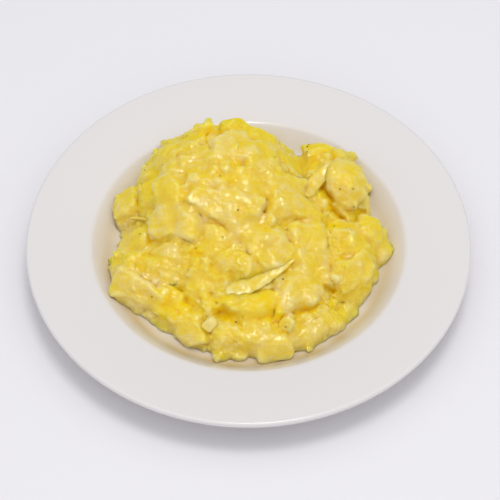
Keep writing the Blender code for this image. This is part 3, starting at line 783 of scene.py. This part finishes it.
def dome_place(dome, inset):
    """The matrix that makes a unit ball one of the mound's domes."""
    middle_x, middle_y, half_width, half_depth, height, turn = dome
    sizes = Vector((half_width, half_depth, height)) * MM - Vector.Fill(3, inset)
    return (
        Matrix.Translation((middle_x * MM, middle_y * MM, DOME_MIDDLE_HEIGHT))
        @ Matrix.Rotation(math.radians(turn), 4, "Z")
        @ Matrix.Diagonal((*sizes, 1))
    )


def jitter(shape, amount, draw):
    """Moves each corner of a piece of unit size a little, so that no two are alike."""
    for vert in shape.verts:
        vert.co += Vector((draw.uniform(-1, 1), draw.uniform(-1, 1), draw.uniform(-1, 1))) * amount


def wear(shape, amount):
    """Cuts every edge of a piece back, which the subdivision then rounds."""
    bmesh.ops.bevel(
        shape, geom=shape.edges[:], offset=amount, offset_type="OFFSET", affect="EDGES", segments=1,
        profile=0.5, material=-1, clamp_overlap=True,
    )


def cut_off(shape, place, way):
    """Cuts off what lies beyond a place, seen along a way, and closes the cut."""
    everything = shape.verts[:] + shape.edges[:] + shape.faces[:]
    cut = bmesh.ops.bisect_plane(shape, geom=everything, plane_co=place, plane_no=way, clear_outer=True)
    edges = [item for item in cut["geom_cut"] if isinstance(item, bmesh.types.BMEdge)]
    bmesh.ops.contextual_create(shape, geom=edges)


def break_corners(shape, draw):
    """Cuts off a few corners and edges of a piece, each by a flat face."""
    for _ in range(BROKEN_CORNERS):
        way = Vector((draw.choice((-1, 1)), draw.choice((-1, 1)), draw.uniform(-1, 1)))
        way += Vector((draw.uniform(-BROKEN_TURN, BROKEN_TURN), draw.uniform(-BROKEN_TURN, BROKEN_TURN), 0))
        way.normalize()
        reach = max(vert.co.dot(way) for vert in shape.verts)
        cut_off(shape, way * min(draw.uniform(*BROKEN_AT), reach - LEAST_CUT), way)


def block_shape(draw, breaks):
    """A boiled block of potato with broken corners and worn edges, one unit each way."""
    shape = bmesh.new()
    bmesh.ops.create_cube(shape, size=1)
    jitter(shape, BLOCK_WANDER, draw)
    break_corners(shape, breaks)
    wear(shape, BLOCK_WEAR)
    return shape


def wedge_shape(draw, breaks):
    """A block that thins to one end."""
    shape = bmesh.new()
    bmesh.ops.create_cube(shape, size=1)
    for vert in shape.verts:
        if vert.co.x > 0:
            vert.co.y *= WEDGE_END_WIDTH
            vert.co.z *= WEDGE_END_THICKNESS
    jitter(shape, WEDGE_WANDER, draw)
    break_corners(shape, breaks)
    wear(shape, WEDGE_WEAR)
    return shape


def slice_shape(draw, breaks):
    """A round slice with a worn rim."""
    shape = bmesh.new()
    bmesh.ops.create_cone(shape, cap_ends=True, segments=SLICE_SIDES, radius1=0.5, radius2=0.5, depth=1)
    jitter(shape, SLICE_WANDER, draw)
    wear(shape, SLICE_WEAR)
    return shape


def half_shape(draw, breaks):
    """Half a round slice, its straight edge at the back."""
    shape = slice_shape(draw, breaks)
    cut_off(shape, (0, 0, 0), (0, 1, 0))
    bmesh.ops.transform(shape, matrix=Matrix.Diagonal((1, 2, 1, 1)), verts=shape.verts)
    bmesh.ops.translate(shape, vec=(0, 0.5, 0), verts=shape.verts)
    return shape


def lump_shape(draw, breaks):
    """A crumbled lump of potato."""
    shape = bmesh.new()
    bmesh.ops.create_cube(shape, size=LUMP_SIDE)
    wear(shape, LUMP_WEAR)
    jitter(shape, LUMP_WANDER, draw)
    return shape


def crumb_shape(draw, breaks):
    """A small crumb, rougher and plainer than a lump."""
    shape = bmesh.new()
    bmesh.ops.create_icosphere(shape, subdivisions=1, radius=CRUMB_RADIUS)
    jitter(shape, CRUMB_WANDER, draw)
    return shape


SHAPES = {
    "block": block_shape,
    "wedge": wedge_shape,
    "slice": slice_shape,
    "half": half_shape,
    "lump": lump_shape,
    "crumb": crumb_shape,
}


def facing(middle, out, turn, lean):
    """The matrix of a piece whose flat side looks along the direction out."""
    along = (Vector((1, 0, 0)) - out * out.x).normalized()
    across = out.cross(along)
    axes = Matrix((along, across, out)).transposed().to_4x4()
    spin = Matrix.Rotation(turn, 4, "Z") @ Matrix.Rotation(-lean, 4, "X")
    return Matrix.Translation(middle) @ axes @ spin


class Chunk:
    """One piece of potato: its kind, its place as a matrix, its sizes, its tone and its coarse shape."""

    def __init__(self, kind, place, sizes, tone, draw):
        self.kind = kind
        self.place = place
        self.sizes = Vector(sizes)
        self.tone = tone
        # its broken corners are drawn from its place to a thousandth of a millimetre
        breaks = random.Random(round(self.place.translation.x / MM * 1000))
        self.shape = SHAPES[kind](draw, breaks)

    def middle(self):
        """Where the piece's middle is."""
        return self.place.translation

    def add_to(self, shape):
        """Adds the piece to a bigger shape."""
        copy = self.shape.copy()
        matrix = self.place @ Matrix.Diagonal((*self.sizes, 1))
        bmesh.ops.transform(copy, matrix=matrix, verts=copy.verts)
        bmesh.ops.recalc_face_normals(copy, faces=copy.faces[:])
        add_shape(shape, copy)


def piece_spot(x, y, rise):
    """Where the middle of a piece lies and which way it faces, from its row's millimetres."""
    out = mound_facing(x * MM, y * MM)
    surface = Vector((x * MM, y * MM, mound_height(x * MM, y * MM)))
    return surface + out * (rise * MM - PIECE_DEPTH), out


def seen_chunks():
    """The pieces of potato that the viewer sees."""
    chunks = []
    for number, row in enumerate(SEEN_PIECES):
        kind, x, y, length, width, thickness, turn, lean, rise, tone = row
        if kind == "onion":
            continue
        draw = random.Random(SEED + number)
        middle, out = piece_spot(x, y, rise)
        place = facing(middle, out, math.radians(turn), math.radians(lean))
        chunks.append(Chunk(kind, place, Vector((length, width, thickness)) * MM, tone, draw))
    return chunks


def onion_middles():
    """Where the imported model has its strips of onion, which keep the filling pieces away."""
    return [piece_spot(row[1], row[2], row[8])[0] for row in SEEN_PIECES if row[0] == "onion"]


def spots_on_dome(dome, tries, lowest):
    """Points spread evenly over a dome where it shows, each with the way that it faces."""
    place = dome_place(dome, 0)
    normals = place.to_3x3().inverted().transposed()
    others = [dome_place(other, 0).inverted() for other in DOMES if other is not dome]
    for number in range(tries):
        height = (number + 0.5) / tries
        reach = math.sqrt(1 - height * height)
        angle = number * GOLDEN_TURN
        unit = Vector((reach * math.cos(angle), reach * math.sin(angle), height))
        spot = place @ unit
        buried = any((inverse @ spot).length < 1 for inverse in others)
        if spot.z > lowest and not buried:
            yield spot, (normals @ unit).normalized()


def filling_chunks(seen):
    """Pieces spread by rule wherever the mound is still bare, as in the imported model."""
    draw = random.Random(SEED)
    tones = random.Random(SEED + 1)
    middles = [chunk.middle() for chunk in seen] + onion_middles()
    chunks = []
    for step, size in FILL_ROUNDS:
        for dome in DOMES:
            for spot, out in spots_on_dome(dome, FILL_TRIES, FILL_LOWEST):
                if min((spot - other).length for other in middles) < step:
                    continue
                middle = spot - out * PIECE_DEPTH
                place = facing(middle, out, draw.uniform(0, FULL_TURN), draw.uniform(-FILL_LEAN, FILL_LEAN))
                ranges = (FILL_LENGTHS, FILL_WIDTHS, FILL_THICKNESSES)
                sizes = [draw.uniform(*limits) * size for limits in ranges]
                kind = FILL_KINDS[len(chunks) % len(FILL_KINDS)] if size == 1 else "crumb"
                chunks.append(Chunk(kind, place, sizes, tones.uniform(*FILL_TONES), draw))
                middles.append(middle)
    return chunks


def rounded(name, shape, levels):
    """An object made from a coarse shape and rounded by subdivision."""
    thing = new_object(name, shape)
    surface = thing.modifiers.new("round", "SUBSURF")
    surface.levels = levels
    surface.render_levels = levels
    bake_modifiers(thing)
    return thing


def positions(thing):
    """The vertices of an object's mesh as an array of rows."""
    flat = numpy.empty(len(thing.data.vertices) * 3, dtype=numpy.float32)
    thing.data.vertices.foreach_get("co", flat)
    return flat.reshape(-1, 3)


def outward(thing):
    """The directions in which the vertices look, as an array of rows."""
    flat = numpy.empty(len(thing.data.vertices) * 3, dtype=numpy.float32)
    thing.data.vertex_normals.foreach_get("vector", flat)
    return flat.reshape(-1, 3)


def move_to(thing, rows):
    """Moves an object's vertices."""
    thing.data.vertices.foreach_set("co", rows.astype(numpy.float32).ravel())
    thing.data.update()


def scatter(cells, seed):
    """A repeatable number from 0 to 1 for each whole-number cell."""
    mixed = cells[..., 0] * 73856093 ^ cells[..., 1] * 19349663 ^ cells[..., 2] * 83492791 ^ seed * 40503
    mixed = ((mixed & 0xFFFFFFFF) ^ ((mixed & 0xFFFFFFFF) >> 13)) * 1274126177 & 0xFFFFFFFF
    mixed = (mixed ^ (mixed >> 15)) * 1103515245 & 0xFFFFFFFF
    return ((mixed ^ (mixed >> 16)) & 0xFFFFFF) / 0xFFFFFF


def soft_noise(rows, length, seed=0):
    """Smooth noise of about -1 to 1 whose hills are a length apart."""
    spots = rows / length
    cells = numpy.floor(spots).astype(numpy.int64)
    inside = spots - cells
    ease = inside**3 * (inside * (inside * 6 - 15) + 10)
    total = numpy.zeros(len(rows))
    for corner in numpy.ndindex(2, 2, 2):
        step = numpy.array(corner)
        slopes = numpy.stack([scatter(cells + step, 3 * seed + k) for k in range(3)], axis=1) * 2 - 1
        share = numpy.where(step, ease, 1 - ease).prod(axis=1)
        total += share * (slopes * (inside - step)).sum(axis=1)
    # the sum alone only reaches about 0.6
    return total * 1.6


def relief(rows, waves):
    """How far each vertex stands out: soft noise of several sizes, each given as wavelength and height."""
    return sum(soft_noise(rows, length, n) * height for n, (length, height) in enumerate(waves))


def warp(rows):
    """How far each place is pushed sideways, so that no edge stays straight."""
    pushed = numpy.zeros((len(rows), 3))
    for n, (length, height) in enumerate(WARP):
        for axis in range(3):
            pushed[:, axis] += soft_noise(rows, length, 20 + 3 * n + axis) * height
    return pushed


def roughen(thing, lift):
    """Lifts and sinks each vertex along the way it faces."""
    move_to(thing, positions(thing) + outward(thing) * lift[:, None])


def furrows(inside):
    """The furrows of the knife, from about -1 to 1, at places inside a piece."""
    return soft_noise(inside / numpy.array((FURROW_LENGTH, FURROW_WIDTH, FURROW_WIDTH)), 1, 5)


def skin_relief(rows, firm, inside):
    """The heap's own roughness: broad on all of it, crumbly in the mash, furrowed on the firm pieces."""
    crumbly = relief(rows, CRUMBLY_WAVES) * (1 - FIRM_CALM * firm)
    return relief(rows, BROAD_WAVES) + crumbly + furrows(inside) * FURROW_HEIGHT * firm


def neighbours(thing):
    """The pairs of vertices that an edge joins, and how many neighbours each vertex has."""
    pairs = numpy.empty(len(thing.data.edges) * 2, dtype=numpy.int32)
    thing.data.edges.foreach_get("vertices", pairs)
    counts = numpy.maximum(numpy.bincount(pairs, minlength=len(thing.data.vertices)), 1).astype(float)
    return pairs.reshape(-1, 2), counts


def neighbour_mean(rows, pairs, counts):
    """The mean place of each vertex's neighbours."""
    total = numpy.zeros_like(rows)
    for axis in range(3):
        total[:, axis] = numpy.bincount(pairs[:, 0], rows[pairs[:, 1], axis], len(rows))
        total[:, axis] += numpy.bincount(pairs[:, 1], rows[pairs[:, 0], axis], len(rows))
    return total / counts[:, None]


def hollowness(thing, rounds, depth):
    """From -1 on a crest to 1 in a hollow: how deep each vertex lies under the smoothed skin."""
    pairs, counts = neighbours(thing)
    rows = positions(thing).astype(float)
    soft = rows.copy()
    for _ in range(rounds):
        soft = neighbour_mean(soft, pairs, counts)
    under = ((soft - rows) * outward(thing)).sum(axis=1)
    return numpy.clip(under / depth, -1, 1)


def own_shade(thing, tree):
    """The share of the ways up, from 0 to 1, that the piece itself blocks from each vertex."""
    ways = [Vector(way).normalized() for way in SHADE_WAYS]
    shares = []
    for row, look in zip(positions(thing), outward(thing)):
        out = Vector(look)
        start = Vector(row) + out * SHADE_START
        blocked = sum(1 for way in ways if way.dot(out) < 0 or tree.ray_cast(start, way, SHADE_REACH)[0])
        shares.append(blocked / len(ways))
    return numpy.array(shares)


def store(thing, name, values):
    """Keeps one number for each vertex."""
    thing.data.attributes.new(name, "FLOAT", "POINT")
    thing.data.attributes[name].data.foreach_set("value", numpy.asarray(values, dtype=numpy.float32))


def cut_clear(thing, cutter):
    """Cuts an object clear of the plate, with the solver that is quick on two closed meshes."""
    cut = thing.modifiers.new("cut", "BOOLEAN")
    cut.operation = "DIFFERENCE"
    cut.solver = "MANIFOLD"
    cut.object = cutter
    bake_modifiers(thing)


def sparse(spots, step):
    """Keeps the spots that lie at least a step from those kept before."""
    cells = {}
    for spot, out in spots:
        cell = tuple(int(value // step) for value in spot)
        around = product(*[(value - 1, value, value + 1) for value in cell])
        if any((spot - other).length < step for key in around for other in cells.get(key, ())):
            continue
        cells.setdefault(cell, []).append(spot)
        yield spot, out


def small_size(sizes, fineness, draw):
    """A size from a range, drawn so that small ones are common."""
    return sizes[0] + (sizes[1] - sizes[0]) * draw.random() ** fineness


def uneven_sides(size, draw):
    """The three sides of a grain or crumb of about one size."""
    return [size * draw.uniform(*SIDE_SPREAD) for _ in range(3)]


def any_turn(draw):
    """A turn by any angle about any axis."""
    return Quaternion([draw.uniform(-1, 1) for _ in range(4)]).normalized().to_matrix().to_4x4()


def add_grains(shape):
    """Broken bits of potato, from rice to bean size, half sunk in the core."""
    draw = random.Random(SEED + 2)
    spots = [item for dome in DOMES for item in spots_on_dome(dome, GRAIN_TRIES, GRAIN_LOWEST)]
    for spot, out in sparse(spots, GRAIN_STEP):
        size = small_size(GRAIN_SIZES, GRAIN_FINENESS, draw)
        middle = spot - out * (MASH_INSET + draw.uniform(0, GRAIN_SINK))
        sizes = uneven_sides(size, draw)
        place = Matrix.Translation(middle) @ any_turn(draw)
        Chunk("lump", place, sizes, MASH_TONE, draw).add_to(shape)


def add_crumbs(shape, tree, chunks):
    """Small crumbs stuck on whatever lies outermost, in drifts."""
    draw = random.Random(SEED + 5)
    spots = []
    for dome in DOMES:
        for spot, out in spots_on_dome(dome, CRUMB_TRIES, GRAIN_LOWEST):
            hit, normal = tree.ray_cast(spot + out * CRUMB_START, -out)[:2]
            if hit:
                spots.append((hit, normal))
    spots = list(sparse(spots, CRUMB_STEP))
    rows = numpy.array([tuple(spot) for spot, out in spots])
    firm = firmness(rows, chunks)[0]
    drift = soft_noise(rows, DRIFT_LENGTH, 7)
    for (spot, out), hard, thick in zip(spots, firm, drift):
        chance = (CRUMB_CHANCE + thick) * (1 - (1 - FIRM_CRUMBS) * hard)
        largest = CRUMB_SIZES[0] + (CRUMB_SIZES[1] - CRUMB_SIZES[0]) * (1 - FIRM_SHRINK * hard)
        size = small_size((CRUMB_SIZES[0], largest), CRUMB_FINENESS, draw)
        sizes = uneven_sides(size, draw)
        turn = any_turn(draw)
        if draw.random() < chance:
            middle = spot + out * (draw.uniform(*CRUMB_RISES) * size)
            kind = draw.choice(("crumb", "block", "wedge"))
            Chunk(kind, Matrix.Translation(middle) @ turn, sizes, MASH_TONE, draw).add_to(shape)


def settle(thing, rounds):
    """Lets the dressing fill the creases: every vertex that lies below its neighbours comes up to them."""
    pairs, counts = neighbours(thing)
    for _ in range(rounds):
        rows = positions(thing).astype(float)
        look = outward(thing)
        under = ((neighbour_mean(rows, pairs, counts) - rows) * look).sum(axis=1)
        move_to(thing, rows + look * numpy.maximum(under, 0)[:, None])


def make_skin(chunks):
    """The whole heap in its dressing: core, grains and pieces melted into one skin."""
    shape = bmesh.new()
    for dome in DOMES:
        place = dome_place(dome, MASH_INSET)
        bmesh.ops.create_uvsphere(shape, u_segments=DOME_SIDES, v_segments=DOME_RINGS, radius=1, matrix=place)
    core = new_object("core", shape.copy())
    grains = bmesh.new()
    add_grains(grains)
    grains = rounded("grains", grains, 1)
    pieces = bmesh.new()
    for chunk in chunks:
        chunk.add_to(pieces)
    pieces = rounded("pieces", pieces, 2)
    crumbs = bmesh.new()
    add_crumbs(crumbs, surface_tree([core, grains, pieces]), chunks)
    crumbs = new_object("crumbs", crumbs)
    bpy.data.objects.remove(core)
    for part in (grains, pieces, crumbs):
        shape.from_mesh(part.data)
        bpy.data.objects.remove(part)
    skin = new_object("potato_salad_heap", shape)
    melt = skin.modifiers.new("melt", "REMESH")
    melt.mode = "VOXEL"
    melt.voxel_size = SKIN_VOXEL
    soften = skin.modifiers.new("soften", "SMOOTH")
    soften.factor = 0.5
    soften.iterations = SKIN_SMOOTHING
    bake_modifiers(skin)
    move_to(skin, positions(skin) + warp(positions(skin)))
    settle(skin, CREASE_ROUNDS)
    return skin


def firmness(rows, chunks):
    """For each vertex: how firm it is, from 0 to 1, its piece's tone, and its place in that piece."""
    firm = numpy.zeros(len(rows))
    tones = numpy.full(len(rows), MASH_TONE)
    best = numpy.full(len(rows), PIECE_REACH)
    inside = rows.astype(float)
    for chunk in chunks:
        matrix = numpy.array(chunk.place.inverted())
        local = rows @ matrix[:3, :3].T + matrix[:3, 3]
        # 1 on the face of a box with rounded edges
        reach = ((numpy.abs(local) / numpy.array(chunk.sizes) * 2) ** 4).sum(axis=1) ** 0.25
        nearer = reach < best
        best[nearer] = reach[nearer]
        inside[nearer] = local[nearer]
        tones[nearer] = chunk.tone
        firm[nearer] = FIRMNESS[chunk.kind]
    fade = numpy.clip((PIECE_REACH - best) / PIECE_FADE, 0, 1)
    return firm * fade, MASH_TONE + (tones - MASH_TONE) * fade, inside


def open_clefts(thing):
    """Presses the clefts between the pieces into the mash."""
    tree = surface_tree([thing])
    rows = positions(thing)
    wander = relief(rows, CLEFT_WAVES)
    for first, last, reach, depth in CLEFTS:
        start, direction = photo_ray(first)
        one = tree.ray_cast(start, direction)[0]
        other = tree.ray_cast(*photo_ray(last))[0]
        along = numpy.array(other - one)
        way = rows - numpy.array(one)
        share = numpy.clip((way @ along) / (along @ along), 0, 1)
        away = numpy.sqrt(((way - share[:, None] * along) ** 2).sum(axis=1)) / (reach * MM)
        near = numpy.clip(1 - (away * (1 + CLEFT_WANDER * wander)) ** 2, 0, 1) ** CLEFT_FLANK
        rows += near[:, None] * numpy.array(direction) * depth * MM
    move_to(thing, rows)


def surface_tree(things):
    """A tree that sight lines can be cast at, over several objects."""
    points = []
    faces = []
    for thing in things:
        start = len(points)
        points += [v.co.copy() for v in thing.data.vertices]
        faces += [[start + i for i in p.vertices] for p in thing.data.polygons]
    return BVHTree.FromPolygons(points, faces)


def curve_point(points, share):
    """A point along a smooth curve through the given points."""
    steps = len(points) - 1
    place = min(share * steps, steps - 1e-6)
    i = int(place)
    t = place - i
    p0, p1, p2, p3 = (points[min(max(i + k, 0), steps)] for k in (-1, 0, 1, 2))
    way = (p2 - p0) * t
    bend = (2 * p0 - 5 * p1 + 4 * p2 - p3) * t**2
    swing = (3 * p1 - p0 - 3 * p2 + p3) * t**3
    return 0.5 * (2 * p1 + way + bend + swing)


def onion_path(tree, path):
    """Places along a strip's path on the heap, and the ways its flat side looks there."""
    places = []
    looks = []
    guide = [Vector(point) for point in path]
    for i in range(ONION_SECTIONS + 1):
        start, direction = photo_ray(curve_point(guide, i / ONION_SECTIONS))
        hit, normal = tree.ray_cast(start, direction)[:2]
        places.append(hit)
        looks.append((normal * ONION_LIES - direction * ONION_SHOWS).normalized())
    for _ in range(ONION_EASING):
        for i in range(1, ONION_SECTIONS):
            places[i] = (places[i - 1] + 2 * places[i] + places[i + 1]) / 4
            looks[i] = (looks[i - 1] + looks[i] + looks[i + 1]).normalized()
    return places, looks


def onion_strip(shape, tree, row):
    """A strip of onion laid along its path on the heap, arched across and thin at both ends."""
    path, width, thickness, rise, ends, tip, white = row
    places, looks = onion_path(tree, path)
    strip = bmesh.new()
    bmesh.ops.create_cone(
        strip, cap_ends=True, segments=ONION_SIDES, radius1=0.5, radius2=0.5, depth=1,
        matrix=Matrix.Rotation(math.pi / 2, 4, "Y"),
    )
    whiteness = strip.verts.layers.float.new("white")
    long_edges = [edge for edge in strip.edges if abs(edge.verts[0].co.x - edge.verts[1].co.x) > 0.5]
    bmesh.ops.subdivide_edges(strip, edges=long_edges, cuts=ONION_SECTIONS - 1, use_grid_fill=True)
    for vert in strip.verts:
        i = min(max(round((vert.co.x + 0.5) * ONION_SECTIONS), 0), ONION_SECTIONS)
        # from -1 at one end of the strip to 1 at the other, and its share of the width, round at the ends
        end = 2 * i / ONION_SECTIONS - 1
        narrow = (ends[0] + (ends[1] - ends[0]) * i / ONION_SECTIONS) * max(1 - end**8, 0.05) ** 0.5
        ahead = (places[min(i + 1, ONION_SECTIONS)] - places[max(i - 1, 0)]).normalized()
        out = (looks[i] - ahead * looks[i].dot(ahead)).normalized()
        across = out.cross(ahead)
        arch = (0.25 - vert.co.y**2) * width * ONION_ARCH * narrow
        lift = rise + vert.co.z * thickness * (0.5 + 0.5 * narrow) + arch + tip * vert.co.y * width * narrow
        lift -= ONION_SINK * (max(abs(end) - ONION_SINKS_FROM, 0) / (1 - ONION_SINKS_FROM)) ** 2 * narrow
        vert.co = places[i] + across * vert.co.y * width * narrow * MM + out * lift * MM
        vert[whiteness] = white
    add_shape(shape, strip)


def make_onion(tree):
    """The strips of onion on the heap."""
    shape = bmesh.new()
    for row in ONION_STRIPS:
        onion_strip(shape, tree, row)
    bmesh.ops.recalc_face_normals(shape, faces=shape.faces[:])
    thing = rounded("onion_strips", shape, 1)
    roughen(thing, relief(positions(thing), ONION_WAVES))
    return thing


def pepper_places(tree):
    """Where the specks lie: those in the photograph, and a few behind by rule."""
    sights = [photo_ray(spot) for spot in PEPPER_SPOTS]
    draw = random.Random(SEED + 3)
    for _ in range(PEPPER_BEHIND):
        angle = draw.uniform(0, math.pi)
        across = RING_RADIUS * math.cos(angle)
        along = RING_MIDDLE + RING_RADIUS * math.sin(angle)
        start = Vector((across, along, draw.uniform(*RING_HEIGHTS)))
        aim = Vector((draw.uniform(*AIM_ACROSS), draw.uniform(*AIM_ALONG), draw.uniform(*AIM_HEIGHTS)))
        sights.append((start, (aim - start).normalized()))
    hits = [tree.ray_cast(*sight)[0] for sight in sights]
    return [hit for hit in hits if hit]


def make_pepper(tree):
    """The specks of ground pepper."""
    draw = random.Random(SEED + 4)
    shape = bmesh.new()
    for place in pepper_places(tree):
        sizes = [draw.uniform(*PEPPER_RADII) for _ in range(3)]
        spin = Matrix.Rotation(draw.uniform(0, FULL_TURN), 4, "Z")
        tilt = Matrix.Rotation(draw.uniform(0, 1), 4, "X")
        matrix = Matrix.Translation(place) @ spin @ tilt @ Matrix.Diagonal((*sizes, 1))
        speck = bmesh.ops.create_icosphere(shape, subdivisions=2, radius=1, matrix=matrix)["verts"]
        for vert in speck:
            vert.co = place + (vert.co - place) * draw.uniform(*PEPPER_SPREAD)
    return new_object("pepper_specks", shape)


def shape_skin(skin, chunks):
    """Gives the skin its relief and its clefts."""
    rows = positions(skin)
    firm, _, inside = firmness(rows - warp(rows), chunks)
    roughen(skin, skin_relief(rows, firm, inside))
    open_clefts(skin)


def colour_skin(skin, tree, chunks):
    """Marks how firm and how deep in colour the salad is at each vertex; the depth holds the pieces' tones
    and painted shade in the hollows and under the pieces.
    """
    rows = positions(skin)
    firm, tones, inside = firmness(rows - warp(rows), chunks)
    flesh = FLESH_DEPTH + TONE_SHARE * (tones - MASH_TONE) - FURROW_SHARE * furrows(inside) * firm
    # painted shade: the colour gets deeper in the hollows, and paler on the crests
    narrow = NARROW_SHARE * hollowness(skin, *NARROW_HOLLOWS)
    broad = BROAD_SHARE * hollowness(skin, *BROAD_HOLLOWS)
    full_colour = numpy.clip(outward(skin) @ numpy.array(FULL_COLOUR_WAY), 0, 1)
    # painted shade: the colour gets deeper where the salad blocks more of the ways up than usual
    shaded = numpy.clip(own_shade(skin, tree) - USUAL_SHADE, 0, 1)
    low = numpy.clip(1 - (rows[:, 2] - WELL_HEIGHT) / FOOT_HEIGHT, 0, 1)
    depth = flesh + narrow + broad - TURNED_AWAY_SHARE * (1 - full_colour) + SHADE_SHARE * shaded - FOOT_SHARE * low
    store(skin, "firm", firm)
    store(skin, "depth", depth)


def make_salad(plate):
    """Everything edible, over its own core, and the dressing, painted shadow and painted reflection on the
    plate.
    """
    seen = seen_chunks()
    chunks = seen + filling_chunks(seen)
    skin = make_skin(chunks)
    shape_skin(skin, chunks)
    cutter = make_plate_cutter()
    cut_clear(skin, cutter)
    bpy.data.objects.remove(cutter)
    tree = surface_tree([skin])
    colour_skin(skin, tree, chunks)
    onion = make_onion(tree)
    pepper = make_pepper(tree)
    tint_plate_with_film_and_shade(plate, tree)
    finish_piece(plate, glazed_porcelain(), "plate")
    finish_piece(skin, dressed_potato(), "potato_salad")
    finish_piece(onion, onion_flesh(), "potato_salad")
    finish_piece(pepper, ground_pepper(), "potato_salad")


add_camera()
add_room()
add_floor()
make_salad(make_plate())
